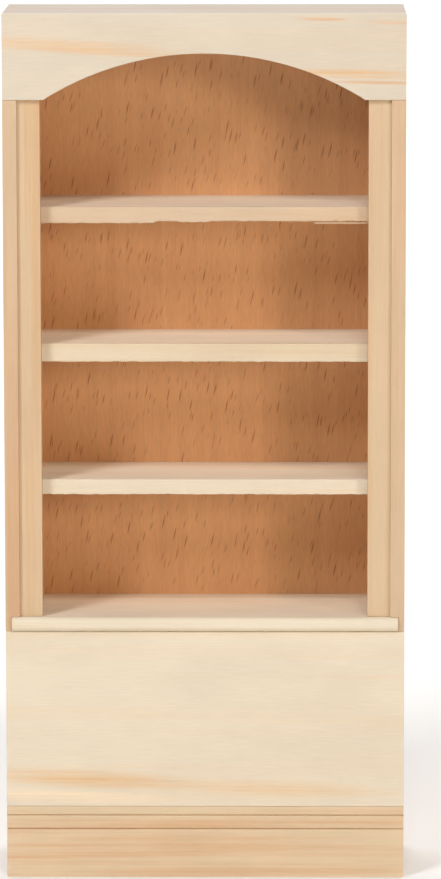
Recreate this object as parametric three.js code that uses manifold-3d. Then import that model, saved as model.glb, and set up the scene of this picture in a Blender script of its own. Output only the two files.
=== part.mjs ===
// Miniature bookcase, 1:12 scale, in bare basswood with a beech back.
// An arched header, three shelves, a counter shelf with a rounded nose, and a closed base with a
// grooved plinth. Every board is a separate solid, glued in housings, notches and rebates.
// Millimetres. +X is right, +Y is back, +Z is up. The origin is the middle of the footprint.
import * as THREE from "three";
import { mergeVertices } from "three/addons/utils/BufferGeometryUtils.js";
import Module from "manifold-3d";

// Overall sizes of the case, without the counter's nose.
const CASE_WIDTH = 88.9;
const CASE_DEPTH = 31.75;
const CASE_HEIGHT = 193.7;

// Board thicknesses.
const SIDE_THICKNESS = 3.175;
const TOP_THICKNESS = 3.175;
const BOTTOM_THICKNESS = 3.175;
const BACK_THICKNESS = 2.4;
const FRONT_THICKNESS = 3.175; // header, lower panel and plinth
const STILE_THICKNESS = 3.175;
const SHELF_THICKNESS = 3.175;
const COUNTER_THICKNESS = 3.175;

// Front frame.
const HEADER_HEIGHT = 18.9;
const ARCH_RISE = 10.2;
const ARCH_SHOULDER = 0.8; // flat left under the header between each stile and the arch
const STILE_WIDTH = 5;
const STILE_SETBACK = 0.9; // from the case's front face to the stiles'

// Shelves.
const COUNTER_HEIGHT = 59.3; // floor to the counter's top face
const UPPER_OPENING = 24; // upper shelf's top face to the header's lower edge
const SHELF_NAMES = ["lower_shelf", "middle_shelf", "upper_shelf"];
const NOSE_PROJECTION = 0.95; // the counter's front edge stands this far out of the case
const NOSE_ROUND = 1.25; // depth of the rounding, which takes the whole thickness

// Plinth and its V-grooves.
const PLINTH_HEIGHT = 16.2;
const GROOVE_WIDTH = 0.5;
const GROOVE_DEPTH = 0.4;
const GROOVE_HEIGHTS = [11.05, 14.15]; // floor to the bottom of each V

// Joints.
const GLUE_LINE = 0.05; // clearance between glued faces
const HOUSING_DEPTH = 2.1; // cut into the sides for shelf ends
const HOUSING_END_GAP = 0.35; // shelf ends stop short of the bottom of their housings
const REBATE_WIDTH = 1.6; // cut into the sides' rear inner edges for the back

// Worked out from the sizes above.
const HALF_WIDTH = CASE_WIDTH / 2;
const INNER_HALF_WIDTH = HALF_WIDTH - SIDE_THICKNESS;
const SHELF_LENGTH = 2 * (INNER_HALF_WIDTH + HOUSING_DEPTH - HOUSING_END_GAP);
const BEHIND_FRONT = FRONT_THICKNESS + GLUE_LINE;
const BEHIND_STILES = STILE_SETBACK + STILE_THICKNESS + GLUE_LINE;
const BACK_FRONT = CASE_DEPTH - BACK_THICKNESS;
const HEADER_BOTTOM = CASE_HEIGHT - HEADER_HEIGHT;
const UNDER_TOP = CASE_HEIGHT - TOP_THICKNESS - GLUE_LINE;
const COUNTER_BOTTOM = COUNTER_HEIGHT - COUNTER_THICKNESS;
const UPPER_SHELF_HEIGHT = HEADER_BOTTOM - UPPER_OPENING;
const SHELF_PITCH = (UPPER_SHELF_HEIGHT - COUNTER_HEIGHT) / SHELF_NAMES.length;
const ARCH_HALF_SPAN = INNER_HALF_WIDTH - GLUE_LINE - STILE_WIDTH - ARCH_SHOULDER;

// How finely curves are drawn, and which way outlines are turned.
const ARCH_SEGMENTS = 48;
const NOSE_SEGMENTS = 12;
const CUT_OVERRUN = 1; // cutters run this far past an open edge
const ALONG_X = [Math.PI / 2, Math.PI / 2, 0]; // turns a (Y, Z) outline to run along X
const FACING_FRONT = [Math.PI / 2, 0, 0]; // turns an (X, Z) outline to face the front

const wasm = await Module();
wasm.setup();

function bareWood(colour) {
  return new THREE.MeshStandardMaterial({ color: colour, roughness: 0.75, metalness: 0 });
}

// A closed three.js geometry as a solid that can be cut.
function solidFrom(geometry) {
  const bare = geometry.clone();
  bare.deleteAttribute("normal");
  bare.deleteAttribute("uv");
  const merged = mergeVertices(bare, 1e-4);
  return new wasm.Manifold(
    new wasm.Mesh({
      numProp: 3,
      vertProperties: new Float32Array(merged.attributes.position.array),
      triVerts: new Uint32Array(merged.index.array),
    }),
  );
}

function geometryFrom(solid) {
  const mesh = solid.getMesh();
  const geometry = new THREE.BufferGeometry();
  geometry.setAttribute("position", new THREE.BufferAttribute(mesh.vertProperties, 3));
  geometry.setIndex(new THREE.BufferAttribute(mesh.triVerts, 1));
  geometry.computeVertexNormals();
  return geometry;
}

function piece(name, geometry, material, position, rotation = [0, 0, 0]) {
  const mesh = new THREE.Mesh(geometry, material);
  mesh.name = name;
  mesh.position.set(...position);
  mesh.rotation.set(...rotation);
  return mesh;
}

// A plain board, centred on X, that starts at the local origin and goes back and up.
function boardGeometry(width, depth, height) {
  return new THREE.BoxGeometry(width, depth, height).translate(0, depth / 2, height / 2);
}

function extruded(outline, length) {
  const options = { depth: length, bevelEnabled: false, steps: 1, curveSegments: ARCH_SEGMENTS };
  return new THREE.ExtrudeGeometry(outline, options);
}

// The side board seen from the side, as (depth, height): notched at the top front for the
// header, and at the bottom front for the lower panel and the plinth.
function sideOutline() {
  const outline = new THREE.Shape();
  outline.moveTo(BEHIND_FRONT, 0);
  outline.lineTo(CASE_DEPTH, 0);
  outline.lineTo(CASE_DEPTH, UNDER_TOP);
  outline.lineTo(BEHIND_FRONT, UNDER_TOP);
  outline.lineTo(BEHIND_FRONT, HEADER_BOTTOM - GLUE_LINE);
  outline.lineTo(0, HEADER_BOTTOM - GLUE_LINE);
  outline.lineTo(0, COUNTER_BOTTOM);
  outline.lineTo(BEHIND_FRONT, COUNTER_BOTTOM);
  outline.closePath();
  return outline;
}

// A cutter centred on a side board's inner face, so that it cuts to the given depth.
function innerFaceCutter(innerFace, cutDepth, front, rear, bottom, top) {
  const box = new THREE.BoxGeometry(2 * cutDepth, rear - front, top - bottom);
  return solidFrom(box.translate(innerFace, (front + rear) / 2, (bottom + top) / 2));
}

// direction is -1 for the left side and 1 for the right side.
function makeSide(name, direction) {
  const middle = SIDE_THICKNESS / 2;
  const innerFace = -direction * middle;
  const blank = extruded(sideOutline(), SIDE_THICKNESS);
  blank.applyMatrix4(new THREE.Matrix4().makeRotationFromEuler(new THREE.Euler(...ALONG_X)));
  blank.translate(-middle, 0, 0);
  const rebateFront = BACK_FRONT - GLUE_LINE;
  let side = solidFrom(blank);
  side = side.subtract(
    innerFaceCutter(
      innerFace,
      REBATE_WIDTH,
      rebateFront,
      CASE_DEPTH + CUT_OVERRUN,
      -CUT_OVERRUN,
      CASE_HEIGHT + CUT_OVERRUN,
    ),
  );
  SHELF_NAMES.forEach((_, index) => {
    const top = shelfHeight(index) + GLUE_LINE;
    const bottom = top - SHELF_THICKNESS - 2 * GLUE_LINE;
    const front = BEHIND_STILES - GLUE_LINE;
    side = side.subtract(
      innerFaceCutter(innerFace, HOUSING_DEPTH, front, BACK_FRONT, bottom, top),
    );
  });
  side = side.subtract(
    innerFaceCutter(
      innerFace,
      HOUSING_DEPTH,
      -CUT_OVERRUN,
      BACK_FRONT,
      COUNTER_BOTTOM - GLUE_LINE,
      COUNTER_HEIGHT + GLUE_LINE,
    ),
  );
  const position = [direction * (HALF_WIDTH - middle), 0, 0];
  return piece(name, geometryFrom(side), bareWood("#debb97"), position);
}

function makeTopBoard() {
  const geometry = boardGeometry(CASE_WIDTH, CASE_DEPTH - BEHIND_FRONT, TOP_THICKNESS);
  const position = [0, BEHIND_FRONT, CASE_HEIGHT - TOP_THICKNESS];
  return piece("top_board", geometry, bareWood("#e0d0bd"), position);
}

function makeBottomBoard() {
  const width = 2 * (INNER_HALF_WIDTH - GLUE_LINE);
  const depth = BACK_FRONT - GLUE_LINE - BEHIND_FRONT;
  const geometry = boardGeometry(width, depth, BOTTOM_THICKNESS);
  return piece("bottom_board", geometry, bareWood("#e0c7a6"), [0, BEHIND_FRONT, 0]);
}

function makeBackPanel() {
  const width = 2 * (INNER_HALF_WIDTH + REBATE_WIDTH - GLUE_LINE);
  const geometry = boardGeometry(width, BACK_THICKNESS, UNDER_TOP);
  return piece("back_panel", geometry, bareWood("#cd9664"), [0, BACK_FRONT, 0]);
}

// The header seen from the front: square ends, and one circular arc in the lower edge.
function makeHeader() {
  const radius = (ARCH_HALF_SPAN ** 2 + ARCH_RISE ** 2) / (2 * ARCH_RISE);
  const centreHeight = ARCH_RISE - radius;
  const springing = Math.asin(ARCH_HALF_SPAN / radius);
  const outline = new THREE.Shape();
  outline.moveTo(-HALF_WIDTH, 0);
  outline.lineTo(-ARCH_HALF_SPAN, 0);
  outline.absarc(0, centreHeight, radius, Math.PI / 2 + springing, Math.PI / 2 - springing, true);
  outline.lineTo(HALF_WIDTH, 0);
  outline.lineTo(HALF_WIDTH, HEADER_HEIGHT);
  outline.lineTo(-HALF_WIDTH, HEADER_HEIGHT);
  outline.closePath();
  const geometry = extruded(outline, FRONT_THICKNESS);
  const position = [0, FRONT_THICKNESS, HEADER_BOTTOM];
  return piece("arched_header", geometry, bareWood("#ead9be"), position, FACING_FRONT);
}

function makeStile(name, direction) {
  const bottom = COUNTER_HEIGHT + GLUE_LINE;
  const height = HEADER_BOTTOM - GLUE_LINE - bottom;
  const geometry = boardGeometry(STILE_WIDTH, STILE_THICKNESS, height);
  const x = direction * (INNER_HALF_WIDTH - GLUE_LINE - STILE_WIDTH / 2);
  return piece(name, geometry, bareWood("#e2bf98"), [x, STILE_SETBACK, bottom]);
}

// The shelves share the height between the counter and the upper shelf evenly.
function shelfHeight(index) {
  return COUNTER_HEIGHT + (index + 1) * SHELF_PITCH;
}

function makeShelf(name, index) {
  const depth = BACK_FRONT - GLUE_LINE - BEHIND_STILES;
  const geometry = boardGeometry(SHELF_LENGTH, depth, SHELF_THICKNESS);
  const position = [0, BEHIND_STILES, shelfHeight(index) - SHELF_THICKNESS];
  return piece(name, geometry, bareWood("#e6cbab"), position);
}

// The counter seen from the end, as (depth, height): a board whose front edge is half an ellipse.
function makeCounter() {
  const half = COUNTER_THICKNESS / 2;
  const noseCentre = NOSE_ROUND - NOSE_PROJECTION;
  const rear = BACK_FRONT - GLUE_LINE;
  const outline = new THREE.Shape();
  outline.moveTo(noseCentre, 0);
  outline.lineTo(rear, 0);
  outline.lineTo(rear, COUNTER_THICKNESS);
  outline.lineTo(noseCentre, COUNTER_THICKNESS);
  for (let step = 1; step < NOSE_SEGMENTS; step++) {
    const angle = (Math.PI * step) / NOSE_SEGMENTS;
    const back = noseCentre - NOSE_ROUND * Math.sin(angle);
    outline.lineTo(back, half + half * Math.cos(angle));
  }
  outline.closePath();
  const geometry = extruded(outline, SHELF_LENGTH);
  const position = [-SHELF_LENGTH / 2, 0, COUNTER_BOTTOM];
  return piece("counter_shelf", geometry, bareWood("#ecd5b6"), position, ALONG_X);
}

function makeLowerPanel() {
  const bottom = PLINTH_HEIGHT + GLUE_LINE;
  const height = COUNTER_BOTTOM - GLUE_LINE - bottom;
  const geometry = boardGeometry(CASE_WIDTH, FRONT_THICKNESS, height);
  return piece("lower_panel", geometry, bareWood("#edd9bf"), [0, 0, bottom]);
}

// The plinth seen from the end, as (depth, height), with its V-grooves from the bottom up.
function makePlinth() {
  const outline = new THREE.Shape();
  outline.moveTo(FRONT_THICKNESS, 0);
  outline.lineTo(FRONT_THICKNESS, PLINTH_HEIGHT);
  outline.lineTo(0, PLINTH_HEIGHT);
  for (const height of [...GROOVE_HEIGHTS].reverse()) {
    outline.lineTo(0, height + GROOVE_WIDTH / 2);
    outline.lineTo(GROOVE_DEPTH, height);
    outline.lineTo(0, height - GROOVE_WIDTH / 2);
  }
  outline.lineTo(0, 0);
  outline.closePath();
  const geometry = extruded(outline, CASE_WIDTH);
  return piece("plinth_board", geometry, bareWood("#dfba93"), [-HALF_WIDTH, 0, 0], ALONG_X);
}

// The case is drawn from its front face, and then centred front to back with the nose counted.
function makeCase() {
  const bookcase = new THREE.Group();
  bookcase.position.y = -(CASE_DEPTH - NOSE_PROJECTION) / 2;
  bookcase.add(makeSide("left_side", -1), makeSide("right_side", 1));
  bookcase.add(makeTopBoard(), makeBottomBoard(), makeBackPanel());
  bookcase.add(makeHeader(), makeStile("left_stile", -1), makeStile("right_stile", 1));
  SHELF_NAMES.forEach((name, index) => bookcase.add(makeShelf(name, index)));
  bookcase.add(makeCounter(), makeLowerPanel(), makePlinth());
  return bookcase;
}

const bookcase = new THREE.Group();
bookcase.add(makeCase());

export default bookcase;
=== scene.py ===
"""Miniature bookcase in bare basswood and beech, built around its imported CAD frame.

Boards are modelled one by one, as a maker cuts them: a squared blank is notched, grooved or
rounded, its arrises are eased, and it gets the wood that it is sawn from.
"""

import math

import bpy
from bpy.props import FloatProperty, FloatVectorProperty, PointerProperty
from mathutils import Euler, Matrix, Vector


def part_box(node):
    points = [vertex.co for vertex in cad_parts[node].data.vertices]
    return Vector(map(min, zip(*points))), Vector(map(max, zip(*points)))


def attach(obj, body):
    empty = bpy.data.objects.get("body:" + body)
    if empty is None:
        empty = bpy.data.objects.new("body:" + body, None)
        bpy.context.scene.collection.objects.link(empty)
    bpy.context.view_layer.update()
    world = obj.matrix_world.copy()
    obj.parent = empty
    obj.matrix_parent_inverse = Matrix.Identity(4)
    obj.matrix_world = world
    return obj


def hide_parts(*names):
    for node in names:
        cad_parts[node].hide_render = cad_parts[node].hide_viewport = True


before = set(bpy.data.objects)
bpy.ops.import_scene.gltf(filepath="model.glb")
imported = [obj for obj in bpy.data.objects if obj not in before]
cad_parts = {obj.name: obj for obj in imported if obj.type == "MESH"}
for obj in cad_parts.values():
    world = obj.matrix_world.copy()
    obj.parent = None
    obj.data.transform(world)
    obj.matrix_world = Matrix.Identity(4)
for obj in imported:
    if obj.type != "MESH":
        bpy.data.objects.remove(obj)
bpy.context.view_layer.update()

bl_info = {
    "name": "Miniature Bookcase",
    "version": (1, 0, 0),
    "blender": (4, 5, 0),
    "location": "View3D > Sidebar > Bookcase",
    "description": "Builds a dolls house bookcase in bare wood, board by board",
    "category": "Add Mesh",
}

BODY = "root"
MM = 0.001
OVERRUN = 0.002  # cutters run this far past an open edge, in metres
SHARP_EDGE = math.radians(35)
SMOOTH_BELOW = math.radians(40)
ARCH_SIDES = 512


# --- Sizes, colours and studio settings -------------------------------------------------------


def length(name, description, default):
    """A property that holds a length in metres."""
    return FloatProperty(
        name=name, description=description, default=default, min=0, unit="LENGTH", precision=5
    )


def linear(hex_colour):
    """An sRGB hex value as linear RGBA."""
    channels = [int(hex_colour[i : i + 2], 16) / 255 for i in (1, 3, 5)]
    return [c / 12.92 if c <= 0.04045 else ((c + 0.055) / 1.055) ** 2.4 for c in channels] + [1]


def surface_colour(name, description, hex_colour):
    """A property that holds a linear colour, given as an sRGB hex value."""
    return FloatVectorProperty(
        name=name,
        description=description,
        default=linear(hex_colour),
        size=4,
        min=0,
        max=1,
        subtype="COLOR",
    )


class BookcaseSizes(bpy.types.PropertyGroup):
    """Sizes that the frame's boxes don't give."""

    arris: length("Arris", "Rounding that sanding leaves on the boards' edges", 0.12 * MM)
    arch_rise: length("Arch rise", "Height of the arch above the header's lower edge", 10.2 * MM)
    arch_shoulder: length("Arch shoulder", "Flat left between each stile and the arch", 0.8 * MM)
    groove_width: length("Groove width", "Width of the plinth's V-grooves at the face", 0.5 * MM)
    groove_depth: length("Groove depth", "Depth of the plinth's V-grooves", 0.5 * MM)
    lower_groove: length("Lower groove", "Height of the lower groove above the floor", 11.05 * MM)
    upper_groove: length("Upper groove", "Height of the upper groove above the floor", 14.15 * MM)
    nose_round: length("Nose round", "Rounding of the counter's front edge", 1.3 * MM)
    housing_depth: length("Housing depth", "Depth of the housings in the side boards", 1.8 * MM)
    rebate_width: length("Rebate width", "Width of the rebates that hold the back", 1.6 * MM)
    glue_line: length("Glue line", "Clearance between glued faces", 0.05 * MM)
    tear: length("Tear-out", "How far sawn fibres stand out of a shelf's lower edge", 0.1 * MM)


class BookcaseColours(bpy.types.PropertyGroup):
    """Colours of each board's wood and of the floor."""

    header: surface_colour("Header", "Pale sapwood of the header", "#dacdb9")
    panel: surface_colour("Lower panel", "Pale sapwood of the lower panel", "#e7d9c2")
    plinth: surface_colour("Plinth", "Warm heartwood of the plinth", "#e2caa8")
    sides: surface_colour("Sides", "Warm wood of the side boards", "#d5b897")
    stiles: surface_colour("Stiles", "Warm wood of the stiles", "#d7bc99")
    shelves: surface_colour("Shelves", "Pale wood of the shelves", "#eddec8")
    # Painted shade: the top board is coloured greyer and darker than the other basswood, for its top
    # face catching less light at a grazing angle.
    top: surface_colour("Top", "Pale wood of the top board", "#c9baab")
    back: surface_colour("Back", "Beech of the back panel", "#e8b07d")
    floor: surface_colour("Floor", "Pale studio floor", "#f6f5f3")


class BookcaseStudio(bpy.types.PropertyGroup):
    """Where the camera stands."""

    camera_distance: length("Distance", "Camera to the front of the case", 1143.6 * MM)
    camera_height: length("Height", "Camera above the floor", 273.6 * MM)
    camera_shift: length("To the right", "Camera to the right of the case's middle", 16.8 * MM)
    camera_pitch: FloatProperty(
        name="Pitch", description="Camera looks down", default=math.radians(8.66), subtype="ANGLE"
    )
    camera_yaw: FloatProperty(
        name="Yaw", description="Camera turns left", default=math.radians(0.665), subtype="ANGLE"
    )
    camera_roll: FloatProperty(
        name="Roll", description="Camera leans", default=math.radians(-0.07), subtype="ANGLE"
    )
    focal_length: FloatProperty(
        name="Focal length", description="On a 36 mm sensor", default=213.65, min=1
    )


# --- Modelling --------------------------------------------------------------------------------


def make_active(piece):
    """Selects one object alone."""
    bpy.ops.object.select_all(action="DESELECT")
    piece.select_set(True)
    bpy.context.view_layer.objects.active = piece


def start_edit(piece):
    """Enters edit mode with nothing selected."""
    make_active(piece)
    bpy.ops.object.mode_set(mode="EDIT")
    bpy.ops.mesh.select_mode(type="VERT")
    bpy.ops.mesh.select_all(action="DESELECT")


def end_edit():
    """Goes back to object mode."""
    bpy.ops.object.mode_set(mode="OBJECT")


def add_blank(name, low, high):
    """A squared blank between two corners, with its place in its mesh."""
    low, high = Vector(low), Vector(high)
    bpy.ops.object.select_all(action="DESELECT")
    bpy.ops.mesh.primitive_cube_add(size=1, location=(low + high) / 2)
    blank = bpy.context.object
    blank.name = name
    blank.scale = high - low
    bpy.ops.object.transform_apply(location=True, rotation=True, scale=True)
    return blank


def cut_away(board, cutter):
    """Takes the cutter's shape out of the board, as a saw or a router does."""
    cut = board.modifiers.new("cut", "BOOLEAN")
    cut.operation = "DIFFERENCE"
    cut.solver = "EXACT"
    cut.object = cutter
    make_active(board)
    bpy.ops.object.modifier_apply(modifier=cut.name)
    bpy.data.objects.remove(cutter)


def select_sharp_edges():
    """Selects the edges that a sheet of sandpaper would catch, from edit mode."""
    bpy.ops.mesh.select_mode(type="EDGE")
    bpy.ops.mesh.select_all(action="DESELECT")
    bpy.ops.mesh.edges_select_sharp(sharpness=SHARP_EDGE)


def ease_arrises(board, radius):
    """Rounds every sharp edge a little, as sandpaper does."""
    start_edit(board)
    select_sharp_edges()
    bpy.ops.mesh.bevel(offset=radius, offset_type="OFFSET", segments=3, affect="EDGES")
    end_edit()


def smooth_board(board):
    """Keeps faces flat and lets only the rounded edges shade smoothly."""
    make_active(board)
    bpy.ops.object.shade_smooth_by_angle(angle=SMOOTH_BELOW)
    weighted = board.modifiers.new("weighted_normals", "WEIGHTED_NORMAL")
    weighted.keep_sharp = True
    bpy.ops.object.modifier_apply(modifier=weighted.name)


def select_vertices(piece, test):
    """Adds the vertices whose places pass a test to those already selected, from edit mode."""
    bpy.ops.object.mode_set(mode="OBJECT")
    for vertex in piece.data.vertices:
        vertex.select = test(vertex.co)
    bpy.ops.object.mode_set(mode="EDIT")
    bpy.ops.mesh.select_mode(type="VERT")


def select_edges(piece, test):
    """Selects the edges whose two ends pass a test, from object mode."""
    start_edit(piece)
    bpy.ops.mesh.select_mode(type="EDGE")
    bpy.ops.object.mode_set(mode="OBJECT")
    for edge in piece.data.edges:
        first, second = (piece.data.vertices[i].co for i in edge.vertices)
        edge.select = test(first, second)
    bpy.ops.object.mode_set(mode="EDIT")


def runs_across(first, second):
    """Tells an edge that runs from side to side of the bookcase."""
    return abs(first.x - second.x) > MM


def finish_board(board, node, material):
    """Puts the board in place of its CAD node, in its own wood."""
    smooth_board(board)
    board.data.materials.clear()
    board.data.materials.append(material)
    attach(board, BODY)
    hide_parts(node)


# --- Wood -------------------------------------------------------------------------------------


def add_node(tree, kind, inputs, **settings):
    """Adds a node, applies its settings, and sets or links its inputs, which are given in order
    or by socket. A node given as an input is linked from its first output that is in use."""
    node = tree.nodes.new(kind)
    for name, value in settings.items():
        setattr(node, name, value)
    for socket, value in inputs.items() if isinstance(inputs, dict) else enumerate(inputs):
        if isinstance(value, bpy.types.Node):
            value = next(output for output in value.outputs if output.enabled)
        if isinstance(value, bpy.types.NodeSocket):
            tree.links.new(value, node.inputs[socket])
        else:
            node.inputs[socket].default_value = value
    return node


def start_wood(name):
    """An empty material, and the place of each point on its board."""
    material = bpy.data.materials.new(name)
    material.use_nodes = True
    material.node_tree.nodes.clear()
    place = add_node(material.node_tree, "ShaderNodeTexCoord", {}).outputs["Object"]
    return material, material.node_tree, place


def grain_noise(tree, place, grain, along, across, seed, detail=3):
    """Noise from 0 to 1, in cells so long along the grain and so wide across it."""
    mapping = add_node(
        tree,
        "ShaderNodeMapping",
        {
            "Vector": place,
            "Location": (seed, seed * 1.7, seed * 2.3),
            "Scale": [1 / along if axis == grain else 1 / across for axis in "XYZ"],
        },
    )
    return add_node(
        tree,
        "ShaderNodeTexNoise",
        {"Vector": mapping, "Scale": 1, "Detail": detail, "Roughness": 0.55},
    )


def grain_lines(tree, place, grain, along, across, seed, levels, detail=3):
    """Grain noise with its levels from low to high spread smoothly over another range."""
    noise = grain_noise(tree, place, grain, along, across, seed, detail)
    return add_node(
        tree, "ShaderNodeMapRange", [noise, *levels], interpolation_type="SMOOTHSTEP"
    )


def figure_patch(tree, place, centre, half_size, tilt, strength):
    """A long soft patch of figure, strongest in its middle and 0 at its edge."""
    mapping = add_node(
        tree,
        "ShaderNodeMapping",
        {
            "Vector": place,
            "Location": [c * MM for c in centre],
            "Rotation": (0, math.radians(tilt), 0),
            "Scale": [h * MM for h in half_size],
        },
        vector_type="TEXTURE",
    )
    ball = add_node(
        tree, "ShaderNodeTexGradient", {"Vector": mapping}, gradient_type="SPHERICAL"
    )
    return add_node(
        tree,
        "ShaderNodeMapRange",
        [ball.outputs["Fac"], 0, 0.75, 0, strength],
        interpolation_type="SMOOTHSTEP",
    )


def shade_wood(tree, colour, shade):
    """Darkens or lightens a colour by a factor."""
    grey = add_node(tree, "ShaderNodeCombineColor", [shade] * 3)
    return add_node(
        tree,
        "ShaderNodeMix",
        {"Factor": 1, 6: colour, 7: grey},
        data_type="RGBA",
        blend_type="MULTIPLY",
    )


def finish_bare_wood(tree, colour, fibre, pores):
    """The matt, slightly fuzzy surface that sandpaper leaves, with fibres about 0.02 mm proud."""
    roughness = add_node(
        tree,
        "ShaderNodeMapRange",
        [fibre, 0.2, 0.8, 0.62, 0.78],
        interpolation_type="SMOOTHSTEP",
    )
    height = add_node(tree, "ShaderNodeMath", [fibre, pores], operation="MULTIPLY")
    bump = add_node(
        tree, "ShaderNodeBump", {"Strength": 0.5, "Distance": 0.02 * MM, "Height": height}
    )
    shader = add_node(
        tree,
        "ShaderNodeBsdfPrincipled",
        {
            "Base Color": colour,
            "Roughness": roughness,
            "Metallic": 0,
            "IOR": 1.5,
            "Specular IOR Level": 0.3,
            "Sheen Weight": 0.08,
            "Sheen Roughness": 0.5,
            "Normal": bump,
        },
    )
    add_node(tree, "ShaderNodeOutputMaterial", {"Surface": shader})


def sanded_basswood(name, base, grain, seed, figures=(), warm="#d9a165", bands=0.35, sawn=None):
    """Basswood, sawn and sanded, with no finish on it: pale and even, with soft growth bands,
    faint fibre lines and short vessel marks, and matt with a slight silkiness along the grain."""
    material, tree, place = start_wood(name)

    # Growth bands are 2 to 4 mm apart on a flat-sawn face, with finer lines inside them.
    broad = grain_lines(tree, place, grain, 120 * MM, 3.2 * MM, seed, (0.42, 0.72, 0, bands))
    fine_levels = (0.45, 0.75, 0, bands * 0.45)
    fine = grain_lines(tree, place, grain, 70 * MM, 0.8 * MM, seed + 3, fine_levels)
    share = add_node(tree, "ShaderNodeMath", [broad, fine], operation="ADD")
    colour = add_node(
        tree,
        "ShaderNodeMix",
        {"Factor": share, 6: tuple(base), 7: linear(warm)},
        data_type="RGBA",
    )

    # Patches of warmer or paler figure are broken up by narrow streaks.
    streaks = grain_lines(
        tree, place, grain, 45 * MM, 0.55 * MM, seed + 5, (0.3, 0.68, 0.45, 1)
    )
    for *figure, figure_colour in figures:
        patch = figure_patch(tree, place, *figure)
        share = add_node(tree, "ShaderNodeMath", [patch, streaks], operation="MULTIPLY")
        colour = add_node(
            tree,
            "ShaderNodeMix",
            {"Factor": share, 6: colour, 7: linear(figure_colour)},
            data_type="RGBA",
        )

    # Fibres are about 0.2 mm wide where they show, and vessel marks about 1.5 mm long.
    fibre = grain_noise(tree, place, grain, 5.5 * MM, 0.2 * MM, seed + 7, detail=4)
    shade = add_node(
        tree,
        "ShaderNodeMapRange",
        [fibre, 0.3, 0.75, 0.965, 1.03],
        interpolation_type="SMOOTHSTEP",
    )
    vessel = grain_lines(
        tree, place, grain, 1.6 * MM, 0.13 * MM, seed + 11, (0.66, 0.8, 1, 0.95), detail=1
    )
    cloud = grain_lines(tree, place, grain, 22 * MM, 9 * MM, seed + 13, (0.3, 0.7, 0.97, 1.03))
    for mark in (vessel, cloud):
        shade = add_node(tree, "ShaderNodeMath", [shade, mark], operation="MULTIPLY")
    colour = shade_wood(tree, colour, shade)

    # Painted shade: a colour multiplied onto the front edge darkens it, so that it looks less lit than
    # the faces.
    if sawn:
        front, front_shade_colour = sawn
        depth = add_node(tree, "ShaderNodeSeparateXYZ", [place]).outputs["Y"]
        edge = add_node(
            tree,
            "ShaderNodeMapRange",
            [depth, front + 0.25 * MM, front + 0.45 * MM, 1, 0],
            interpolation_type="SMOOTHSTEP",
        )
        colour = add_node(
            tree,
            "ShaderNodeMix",
            {"Factor": edge, 6: colour, 7: linear(front_shade_colour)},
            data_type="RGBA",
            blend_type="MULTIPLY",
        )

    finish_bare_wood(tree, colour, fibre, vessel)
    return material


def ray_flecks(tree, place, size, shift, lean, strength):
    """Short dark marks that lean a little from the grain, 1 in their middles."""
    leant = add_node(
        tree, "ShaderNodeMapping", {"Vector": place, "Rotation": (0, math.radians(lean), 0)}
    )
    flat = add_node(
        tree,
        "ShaderNodeMapping",
        {
            "Vector": leant,
            "Location": (shift, shift, 0),
            "Rotation": (math.radians(-90), 0, 0),
            "Scale": (1 / (1.5 * MM * size), 1, 1 / (15 * MM * size)),
        },
    )
    cells = add_node(
        tree,
        "ShaderNodeTexVoronoi",
        {"Vector": flat, "Scale": 1, "Randomness": 1},
        voronoi_dimensions="2D",
    )
    random = add_node(tree, "ShaderNodeSeparateColor", [cells.outputs["Color"]])
    reach = add_node(
        tree,
        "ShaderNodeMapRange",
        [random.outputs[0], 0, 1, 0.075, 0.14],
        interpolation_type="SMOOTHSTEP",
    )
    edge = add_node(
        tree, "ShaderNodeMath", [cells.outputs["Distance"], reach], operation="DIVIDE"
    )
    mark = add_node(
        tree, "ShaderNodeMapRange", [edge, 0.3, 1.1, 1, 0], interpolation_type="SMOOTHSTEP"
    )
    present = add_node(
        tree,
        "ShaderNodeMapRange",
        [random.outputs[1], 0.1, 0.5, 0, strength],
        interpolation_type="SMOOTHSTEP",
    )
    return add_node(tree, "ShaderNodeMath", [mark, present], operation="MULTIPLY")


def sanded_beech(name, base, seed):
    """Steamed beech, planed and sanded: pinkish brown, fine and even, with short dark ray flecks
    that lean a little from the grain."""
    material, tree, place = start_wood(name)
    bands = grain_lines(tree, place, "Z", 90 * MM, 2.5 * MM, seed, (0.35, 0.7, 0, 0.3))
    colour = add_node(
        tree,
        "ShaderNodeMix",
        {"Factor": bands, 6: tuple(base), 7: linear("#d3956a")},
        data_type="RGBA",
    )

    # Pores are too fine to show at their real size, so they are drawn 0.2 mm wide.
    fibre = grain_noise(tree, place, "Z", 2.6 * MM, 0.2 * MM, seed + 3)
    shade = add_node(
        tree,
        "ShaderNodeMapRange",
        [fibre, 0.3, 0.75, 0.92, 1.05],
        interpolation_type="SMOOTHSTEP",
    )
    colour = shade_wood(tree, colour, shade)

    # Ray flecks are 2 to 3 mm long and 0.2 to 0.3 mm wide, one or two in 20 square mm.
    large = ray_flecks(tree, place, 1, 0, -11, 0.66)
    small = ray_flecks(tree, place, 0.75, 5.3, -14, 0.5)
    flecks = add_node(tree, "ShaderNodeMath", [large, small], operation="MAXIMUM")
    colour = add_node(
        tree,
        "ShaderNodeMix",
        {"Factor": flecks, 6: colour, 7: linear("#96552f")},
        data_type="RGBA",
    )
    hollow = add_node(tree, "ShaderNodeMath", [flecks, 0.3], operation="MULTIPLY")
    pores = add_node(tree, "ShaderNodeMath", [1, hollow], operation="SUBTRACT")
    finish_bare_wood(tree, colour, fibre, pores)
    return material


# --- Boards -----------------------------------------------------------------------------------


class BoardOperator(bpy.types.Operator):
    """Shared settings of the operators that make boards"""

    bl_options = {"REGISTER", "UNDO"}


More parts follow.
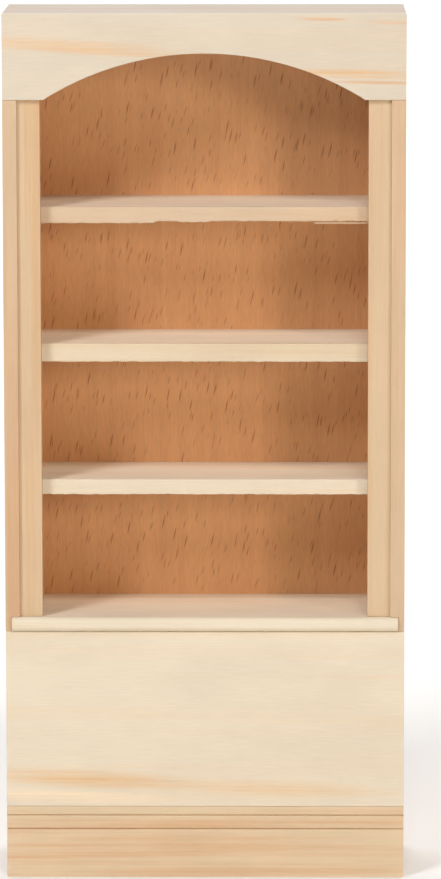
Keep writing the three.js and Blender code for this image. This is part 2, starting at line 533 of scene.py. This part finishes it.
class BOOKCASE_OT_sides(BoardOperator):
    """Side boards, notched for the header and the base, housed for shelves and rebated behind"""

    bl_idname = "bookcase.sides"
    bl_label = "Side Boards"

    def execute(self, context):
        for node, inward in (("left_side", 1), ("right_side", -1)):
            self.make_side(context.scene.bookcase_sizes, context.scene.bookcase_colours, node, inward)
        return {"FINISHED"}

    def make_side(self, sizes, colours, node, inward):
        low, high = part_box(node)
        side = add_blank(node + "_board", low, high)
        behind_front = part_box("top_board")[0].y
        header_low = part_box("arched_header")[0].z - sizes.glue_line
        counter_low, counter_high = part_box("counter_shelf")
        back_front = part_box("back_panel")[0].y - sizes.glue_line
        inner_x = high.x if inward > 0 else low.x

        def notch(y_low, y_high, z_low, z_high):
            cutter_low = (low.x - OVERRUN, y_low, z_low)
            cutter_high = (high.x + OVERRUN, y_high, z_high)
            cut_away(side, add_blank("cutter", cutter_low, cutter_high))

        def housing(depth, y_low, y_high, z_low, z_high):
            cutter_low = (inner_x - depth, y_low, z_low)
            cutter_high = (inner_x + depth, y_high, z_high)
            cut_away(side, add_blank("cutter", cutter_low, cutter_high))

        notch(low.y - OVERRUN, behind_front, header_low, high.z + OVERRUN)
        notch(low.y - OVERRUN, behind_front, low.z - OVERRUN, counter_low.z)
        housing(
            sizes.rebate_width, back_front, high.y + OVERRUN, low.z - OVERRUN, high.z + OVERRUN
        )
        shelf_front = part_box("upper_shelf")[0].y - sizes.glue_line
        for shelf in ("lower_shelf", "middle_shelf", "upper_shelf"):
            shelf_low, shelf_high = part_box(shelf)
            housing(
                sizes.housing_depth,
                shelf_front,
                back_front + sizes.glue_line,
                shelf_low.z - sizes.glue_line,
                shelf_high.z + sizes.glue_line,
            )
        housing(
            sizes.housing_depth,
            low.y - OVERRUN,
            back_front + sizes.glue_line,
            counter_low.z - sizes.glue_line,
            counter_high.z + sizes.glue_line,
        )
        ease_arrises(side, sizes.arris / 2)
        wood = sanded_basswood(
            "basswood_" + node,
            colours.sides,
            "Z",
            1.3 if inward > 0 else 6.1,
            warm="#cf9460",
            bands=0.4,
        )
        finish_board(side, node, wood)


class BOOKCASE_OT_top_and_bottom(BoardOperator):
    """Top and bottom boards"""

    bl_idname = "bookcase.top_and_bottom"
    bl_label = "Top and Bottom Boards"

    def execute(self, context):
        sizes, colours = context.scene.bookcase_sizes, context.scene.bookcase_colours
        top = add_blank("top_board_plank", *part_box("top_board"))
        ease_arrises(top, sizes.arris)
        # Painted shade: the top board's base and band colours are greyer and darker than the other
        # boards', for the light its top face catches at a grazing angle.
        top_wood = sanded_basswood("basswood_top", colours.top, "X", 2.2, warm="#c9a383")
        finish_board(top, "top_board", top_wood)
        bottom = add_blank("bottom_board_plank", *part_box("bottom_board"))
        ease_arrises(bottom, sizes.arris)
        bottom_wood = sanded_basswood("basswood_bottom", colours.sides, "X", 9.4)
        finish_board(bottom, "bottom_board", bottom_wood)
        return {"FINISHED"}


class BOOKCASE_OT_back_panel(BoardOperator):
    """Beech back"""

    bl_idname = "bookcase.back_panel"
    bl_label = "Back Panel"

    def execute(self, context):
        back = add_blank("back_panel_board", *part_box("back_panel"))
        ease_arrises(back, context.scene.bookcase_sizes.arris)
        beech = sanded_beech("steamed_beech", context.scene.bookcase_colours.back, 4.6)
        finish_board(back, "back_panel", beech)
        return {"FINISHED"}


class BOOKCASE_OT_header(BoardOperator):
    """Header with its arch"""

    bl_idname = "bookcase.header"
    bl_label = "Arched Header"

    figures = (
        ((-30, 0, 186.6), (36, 60, 2.2), 3.5, 0.7, "#e2b888"),
        ((-18, 0, 185.0), (26, 60, 1.0), 3, 0.55, "#e1b786"),
        ((32, 0, 180.6), (24, 60, 1.5), 1.5, 0.75, "#e2b47e"),
        ((38, 0, 178.6), (14, 60, 0.6), 1, 0.75, "#dea36c"),
        ((26, 0, 192.6), (8, 60, 0.7), 1, 0.75, "#dea877"),
        ((42, 0, 191.8), (10, 60, 0.8), 1, 0.5, "#e6b47e"),
    )

    def execute(self, context):
        sizes, colours = context.scene.bookcase_sizes, context.scene.bookcase_colours
        low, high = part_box("arched_header")
        header = add_blank("arched_header_board", low, high)
        half_span = -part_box("left_stile")[1].x - sizes.arch_shoulder
        rise = sizes.arch_rise
        radius = (half_span**2 + rise**2) / (2 * rise)
        bpy.ops.object.select_all(action="DESELECT")
        bpy.ops.mesh.primitive_cylinder_add(
            vertices=ARCH_SIDES,
            radius=radius,
            depth=high.y - low.y + 2 * OVERRUN,
            location=(0, (low.y + high.y) / 2, low.z + rise - radius),
            rotation=(math.pi / 2, 0, 0),
        )
        cut_away(header, bpy.context.object)
        ease_arrises(header, sizes.arris)
        wood = sanded_basswood(
            "basswood_header", colours.header, "X", 3.7, self.figures, warm="#e6c295", bands=0.14
        )
        finish_board(header, "arched_header", wood)
        return {"FINISHED"}


class BOOKCASE_OT_stiles(BoardOperator):
    """Recessed stiles"""

    bl_idname = "bookcase.stiles"
    bl_label = "Stiles"

    def execute(self, context):
        sizes, colours = context.scene.bookcase_sizes, context.scene.bookcase_colours
        for node, seed in (("left_stile", 5.2), ("right_stile", 8.8)):
            low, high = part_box(node)
            if high.x < 0:
                low.x -= sizes.glue_line
            else:
                high.x += sizes.glue_line
            stile = add_blank(node + "_strip", low, high)
            ease_arrises(stile, sizes.arris / 2)
            wood = sanded_basswood(
                "basswood_" + node, colours.stiles, "Z", seed, warm="#d29358", bands=0.35
            )
            finish_board(stile, node, wood)
        return {"FINISHED"}


class BOOKCASE_OT_shelves(BoardOperator):
    """Shelves, whose sawn lower front edges are a little torn"""

    bl_idname = "bookcase.shelves"
    bl_label = "Shelves"

    def execute(self, context):
        sizes, colours = context.scene.bookcase_sizes, context.scene.bookcase_colours
        # The last value of each shelf is painted shade: a colour multiplied onto its front edge to
        # darken it against its top.
        shelves = (
            ("lower_shelf", 2.9, "#f8f6f1"),
            ("middle_shelf", 7.3, "#f1efe8"),
            ("upper_shelf", 4.1, "#e9dcd0"),
        )
        for index, (node, seed, front_shade_colour) in enumerate(shelves):
            shelf = self.make_shelf(node, sizes, index)
            # Painted shade for the front edge: where it starts and its colour.
            sawn = (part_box(node)[0].y, front_shade_colour)
            wood = sanded_basswood(
                "basswood_" + node,
                colours.shelves,
                "X",
                seed,
                warm="#e6bc88",
                bands=0.3,
                sawn=sawn,
            )
            finish_board(shelf, node, wood)
        return {"FINISHED"}

    edge_cuts = 170
    # Places along the front edges are in millimetres from the middle.
    torn_to = 42
    tear_spread = 1.2
    # Stretches of torn fibres under the front edges: from, to and drop. A stretch that is torn
    # already moves again with each later one, so drops add up, and the underside slopes to them.
    tears = {
        "lower_shelf": ((-42, 42, 0.06), (14.6, 16.2, 0.12)),
        "middle_shelf": (
            (-42, 42, 0.2),
            (-31, -27, 0.12),
            (-20, -4, 0.15),
            (-4, 4, 0.08),
            (19, 30, 0.18),
            (30, 42, 0.12),
        ),
        "upper_shelf": ((-42, -11, 0.2), (-5.5, 0.6, 0.22)),
    }

    # The splinter's ends, its corners from the shelf's lower front edge, and its unevenness.
    splinter_from, splinter_to = 24.4, 36.6
    splinter_front, splinter_rear = -0.1, 0.3
    splinter_low, splinter_high = -0.55, -0.27
    splinter_roughness = 0.04

    def make_shelf(self, node, sizes, index):
        low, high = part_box(node)
        shelf = add_blank(node + "_board", low, high)
        select_edges(shelf, runs_across)
        bpy.ops.mesh.subdivide(number_cuts=self.edge_cuts)
        end_edit()
        ease_arrises(shelf, sizes.arris)
        start_edit(shelf)
        reach = 1.5 * sizes.arris
        for start, end, drop in self.tears[node]:
            select_vertices(
                shelf,
                lambda place: start * MM < place.x < end * MM
                and place.y < low.y + reach
                and place.z < low.z + reach,
            )
            bpy.ops.transform.translate(
                value=(0, 0, -drop * MM),
                use_proportional_edit=True,
                proportional_edit_falloff="SMOOTH",
                proportional_size=self.tear_spread * MM,
            )
        select_vertices(
            shelf,
            lambda place: abs(place.x) < self.torn_to * MM
            and place.y < low.y + reach
            and place.z < low.z + reach,
        )
        bpy.ops.transform.vertex_random(offset=sizes.tear, uniform=1, normal=0, seed=index + 3)
        end_edit()
        if node == "upper_shelf":
            self.add_splinter(shelf, low)
        return shelf

    def add_splinter(self, shelf, low):
        """A straight sliver just below the front edge. It is a shell of its own and touches nothing."""
        splinter = add_blank(
            "upper_shelf_splinter",
            (
                self.splinter_from * MM,
                low.y + self.splinter_front * MM,
                low.z + self.splinter_low * MM,
            ),
            (
                self.splinter_to * MM,
                low.y + self.splinter_rear * MM,
                low.z + self.splinter_high * MM,
            ),
        )
        bpy.ops.object.mode_set(mode="EDIT")
        bpy.ops.mesh.select_all(action="SELECT")
        bpy.ops.mesh.subdivide(number_cuts=12)
        bpy.ops.transform.vertex_random(
            offset=self.splinter_roughness * MM, uniform=1, normal=0, seed=9
        )
        end_edit()
        make_active(shelf)
        splinter.select_set(True)
        bpy.ops.object.join()


class BOOKCASE_OT_counter(BoardOperator):
    """Counter shelf with its rounded nose"""

    bl_idname = "bookcase.counter"
    bl_label = "Counter Shelf"

    def execute(self, context):
        sizes, colours = context.scene.bookcase_sizes, context.scene.bookcase_colours
        low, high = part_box("counter_shelf")
        counter = add_blank("counter_shelf_board", low, high)
        select_edges(
            counter,
            lambda first, second: runs_across(first, second)
            and max(first.y, second.y) < low.y + MM,
        )
        bpy.ops.mesh.bevel(
            offset=sizes.nose_round, offset_type="OFFSET", segments=10, affect="EDGES"
        )
        end_edit()
        ease_arrises(counter, sizes.arris / 3)
        # Painted shade: a near-white colour multiplied onto the nose front darkens it very slightly.
        wood = sanded_basswood(
            "basswood_counter",
            colours.shelves,
            "X",
            6.6,
            warm="#ecc492",
            bands=0.25,
            sawn=(low.y + sizes.nose_round, "#fbfdfa"),
        )
        finish_board(counter, "counter_shelf", wood)
        return {"FINISHED"}


class BOOKCASE_OT_lower_panel(BoardOperator):
    """Plain panel of the base"""

    bl_idname = "bookcase.lower_panel"
    bl_label = "Lower Panel"

    figures = (
        ((-26, 0, 22.4), (34, 60, 3.0), 2.5, 0.75, "#e2b57e"),
        ((14, 0, 20.5), (36, 60, 2.6), 1.5, 0.6, "#e7be8a"),
        ((-33, 0, 18.6), (34, 60, 2.0), 2.2, 0.75, "#ffe6c3"),
    )

    def execute(self, context):
        sizes, colours = context.scene.bookcase_sizes, context.scene.bookcase_colours
        panel = add_blank("lower_panel_board", *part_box("lower_panel"))
        ease_arrises(panel, sizes.arris)
        wood = sanded_basswood(
            "basswood_panel", colours.panel, "X", 1.9, self.figures, warm="#ecc28f", bands=0.15
        )
        finish_board(panel, "lower_panel", wood)
        return {"FINISHED"}


class BOOKCASE_OT_plinth(BoardOperator):
    """Plinth with its V-grooves"""

    bl_idname = "bookcase.plinth"
    bl_label = "Grooved Plinth"

    def execute(self, context):
        sizes, colours = context.scene.bookcase_sizes, context.scene.bookcase_colours
        low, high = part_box("plinth_board")
        plinth = add_blank("plinth_board_plank", low, high)
        for height in (sizes.lower_groove, sizes.upper_groove):
            bpy.ops.object.select_all(action="DESELECT")
            bpy.ops.mesh.primitive_cylinder_add(
                vertices=4,
                radius=1,
                depth=high.x - low.x + 2 * OVERRUN,
                location=(0, low.y, height),
                rotation=(0, math.pi / 2, 0),
            )
            cutter = bpy.context.object
            cutter.scale = (sizes.groove_width / 2, sizes.groove_depth, 1)
            bpy.ops.object.transform_apply(location=True, rotation=True, scale=True)
            cut_away(plinth, cutter)
        ease_arrises(plinth, sizes.arris / 2)
        wood = sanded_basswood(
            "basswood_plinth", colours.plinth, "X", 5.8, warm="#d29158", bands=0.45
        )
        finish_board(plinth, "plinth_board", wood)
        return {"FINISHED"}


# --- Studio -----------------------------------------------------------------------------------


def add_softbox(name, azimuth, elevation, distance, width, height, power, colour):
    """A soft light that looks at the middle of the bookcase."""
    target = Vector((0, 0, 0.1))
    turn = math.radians(azimuth)
    lift = math.radians(elevation)
    direction = Vector(
        (math.sin(turn) * math.cos(lift), -math.cos(turn) * math.cos(lift), math.sin(lift))
    )
    bpy.ops.object.select_all(action="DESELECT")
    bpy.ops.object.light_add(type="AREA", location=target + direction * distance)
    light = bpy.context.object
    light.name = name
    light.rotation_euler = direction.to_track_quat("Z", "Y").to_euler()
    light.data.shape = "RECTANGLE"
    light.data.size = width
    light.data.size_y = height
    light.data.energy = power
    light.data.color = linear(colour)[:3]


class BOOKCASE_OT_stage(bpy.types.Operator):
    """Pale floor, soft studio light and the camera"""

    bl_idname = "bookcase.stage"
    bl_label = "Studio"

    # Name, azimuth, elevation, distance, width, height, power, colour. Azimuth 0 is in front.
    softboxes = (
        ("key", -36, 38, 1.3, 0.3, 0.5, 8.15, "#fbfcff"),
        ("front", 8, 52, 1.3, 0.3, 0.3, 5.0, "#ffffff"),
        ("low_fill", 37, 12, 1.3, 0.25, 0.25, 4.15, "#fff0df"),
    )
    # Place, width, depth and power of the wide light over the floor behind the bookcase.
    backdrop = ((0.2, 2.1, 1.3), 3.2, 3.6, 75)
    floor_size = 12

    def execute(self, context):
        scene = context.scene
        self.add_floor(scene.bookcase_colours)
        for softbox in self.softboxes:
            add_softbox(*softbox)
        self.add_backdrop_light()
        self.add_camera(scene, scene.bookcase_studio)
        world = bpy.data.worlds.new("studio")
        world.use_nodes = True
        world.node_tree.nodes["Background"].inputs["Strength"].default_value = 0
        scene.world = world
        scene.view_settings.view_transform = "Standard"
        return {"FINISHED"}

    def add_backdrop_light(self):
        """A wide light that looks straight down at the floor behind the bookcase."""
        place, width, depth, power = self.backdrop
        bpy.ops.object.select_all(action="DESELECT")
        bpy.ops.object.light_add(type="AREA", location=place)
        light = bpy.context.object
        light.name = "backdrop"
        light.data.shape = "RECTANGLE"
        light.data.size = width
        light.data.size_y = depth
        light.data.energy = power

    def add_floor(self, colours):
        bpy.ops.object.select_all(action="DESELECT")
        bpy.ops.mesh.primitive_plane_add(size=self.floor_size, location=(0, 0, 0))
        floor = bpy.context.object
        floor.name = "studio_floor"
        paper = bpy.data.materials.new("matt_paper")
        paper.use_nodes = True
        shader = paper.node_tree.nodes["Principled BSDF"]
        shader.inputs["Base Color"].default_value = colours.floor
        shader.inputs["Roughness"].default_value = 0.9
        shader.inputs["Specular IOR Level"].default_value = 0.1
        floor.data.materials.append(paper)

    def add_camera(self, scene, studio):
        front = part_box("arched_header")[0].y
        place = (studio.camera_shift, front - studio.camera_distance, studio.camera_height)
        bpy.ops.object.select_all(action="DESELECT")
        bpy.ops.object.camera_add(location=place)
        camera = bpy.context.object
        camera.name = "studio_camera"
        turned = Euler((math.pi / 2 - studio.camera_pitch, 0, studio.camera_yaw)).to_matrix()
        leant = Euler((0, 0, studio.camera_roll)).to_matrix()
        camera.rotation_euler = (turned @ leant).to_euler()
        camera.data.lens = studio.focal_length
        camera.data.sensor_width = 36
        camera.data.clip_end = 20
        scene.camera = camera


class BOOKCASE_PT_panel(bpy.types.Panel):
    """Lists the bookcase's boards, in the order in which they are made"""

    bl_idname = "BOOKCASE_PT_panel"
    bl_label = "Miniature Bookcase"
    bl_space_type = "VIEW_3D"
    bl_region_type = "UI"
    bl_category = "Bookcase"

    def draw(self, context):
        for operator in OPERATORS:
            self.layout.operator(operator.bl_idname)


OPERATORS = (
    BOOKCASE_OT_sides,
    BOOKCASE_OT_top_and_bottom,
    BOOKCASE_OT_back_panel,
    BOOKCASE_OT_header,
    BOOKCASE_OT_stiles,
    BOOKCASE_OT_shelves,
    BOOKCASE_OT_counter,
    BOOKCASE_OT_lower_panel,
    BOOKCASE_OT_plinth,
    BOOKCASE_OT_stage,
)
CLASSES = (BookcaseSizes, BookcaseColours, BookcaseStudio) + OPERATORS + (BOOKCASE_PT_panel,)


def register():
    for cls in CLASSES:
        bpy.utils.register_class(cls)
    bpy.types.Scene.bookcase_sizes = PointerProperty(type=BookcaseSizes)
    bpy.types.Scene.bookcase_colours = PointerProperty(type=BookcaseColours)
    bpy.types.Scene.bookcase_studio = PointerProperty(type=BookcaseStudio)


def unregister():
    del bpy.types.Scene.bookcase_studio
    del bpy.types.Scene.bookcase_colours
    del bpy.types.Scene.bookcase_sizes
    for cls in reversed(CLASSES):
        bpy.utils.unregister_class(cls)


def main():
    register()
    bpy.ops.bookcase.sides()
    bpy.ops.bookcase.top_and_bottom()
    bpy.ops.bookcase.back_panel()
    bpy.ops.bookcase.header()
    bpy.ops.bookcase.stiles()
    bpy.ops.bookcase.shelves()
    bpy.ops.bookcase.counter()
    bpy.ops.bookcase.lower_panel()
    bpy.ops.bookcase.plinth()
    bpy.ops.bookcase.stage()


if __name__ == "__main__":
    main()
